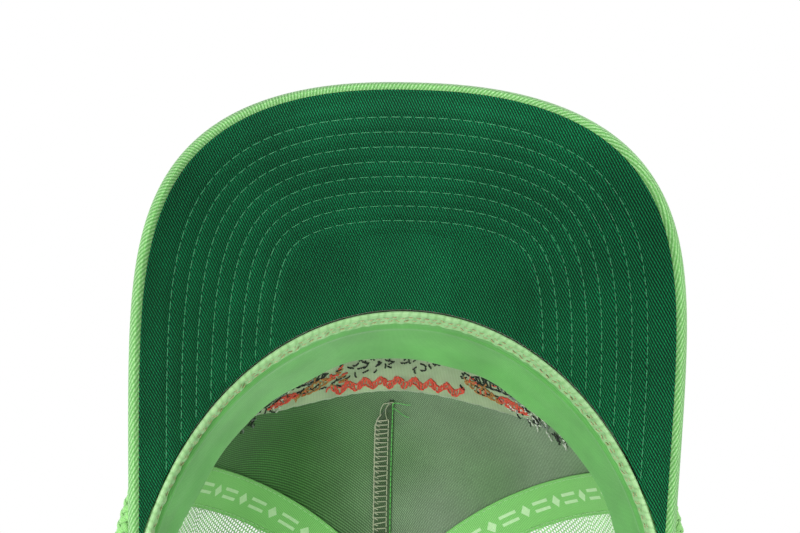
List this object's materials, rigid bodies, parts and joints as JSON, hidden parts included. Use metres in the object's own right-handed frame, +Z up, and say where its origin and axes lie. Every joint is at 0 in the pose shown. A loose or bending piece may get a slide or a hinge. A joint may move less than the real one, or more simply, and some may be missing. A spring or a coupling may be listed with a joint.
{
  "type": "trucker cap",
  "caption": "Trucker cap with a mesh crown, curved visor with a green underside, rope trim, sweatband and a snap closure at the back.",
  "frame": {"origin": "centre of the cap's footprint on the surface that it rests on: the visor's two side edges and the rim beside the rear opening touch z = 0", "axes": "+Z up, the visor points along -Y, +X is the wearer's left"},
  "size_m": [0.1798, 0.2676, 0.139],
  "materials": {
    "lime_twill": "cotton twill, matt",
    "green_twill": "cotton twill, matt",
    "board_plastic": "moulded visor board",
    "buckram": "stiffened plain weave",
    "overlock_thread": "overlocked seam allowance",
    "embroidery_thread": "satin-stitched polyester thread",
    "stabiliser": "cut-away stabiliser",
    "lime_mesh": "open polyester net",
    "seam_tape": "twill tape",
    "sweatband_cloth": "cotton twill, matt",
    "foam": "thin padding",
    "rope_braid": "braided polyester",
    "button_metal": "pressed metal",
    "strap_plastic": "moulded flexible plastic",
    "label_cloth": "blank woven label"
  },
  "bodies": {
    "cap": {"visor_board": "board_plastic", "visor_top_cover": "lime_twill", "undervisor_cover": "green_twill", "front_panel": "lime_twill", "front_panel_backing": "buckram", "front_dart_seam": "overlock_thread", "embroidery_motif": "embroidery_thread", "embroidery_backing": "stabiliser", "side_mesh_panel_left": "lime_mesh", "side_mesh_panel_right": "lime_mesh", "back_mesh_panel_left": "lime_mesh", "back_mesh_panel_right": "lime_mesh", "front_seam_tape_left": "seam_tape", "front_seam_tape_right": "seam_tape", "side_seam_tape_left": "seam_tape", "side_seam_tape_right": "seam_tape", "center_back_seam_tape": "seam_tape", "sweatband": "sweatband_cloth", "sweatband_foam": "foam", "rim_binding_left": "lime_twill", "rim_binding_right": "lime_twill", "rear_opening_binding": "lime_twill", "rope": "rope_braid", "rope_end_button_left": "lime_twill", "rope_end_button_right": "lime_twill", "top_button": "lime_twill", "button_stem": "button_metal", "button_washer": "button_metal", "outer_strap_tab": "strap_plastic", "inner_strap_tab": "strap_plastic", "care_label": "label_cloth"},
    "outer_strap": {"outer_strap": "strap_plastic"},
    "inner_strap": {"inner_strap": "strap_plastic"}
  },
  "joints": [
    {"name": "outer_strap_bend", "type": "hinge", "parent": "cap", "child": "outer_strap", "pos_m": [0.033, 0.12619, 0.01373], "axis": [0, -0.1465, -0.9892], "range_deg": [0, 40], "stiffness_Nm_per_rad": 0.02},
    {"name": "inner_strap_bend", "type": "hinge", "parent": "cap", "child": "inner_strap", "pos_m": [-0.033, 0.12461, 0.01396], "axis": [0, -0.1465, -0.9892], "range_deg": [0, 40], "stiffness_Nm_per_rad": 0.02}
  ]
}
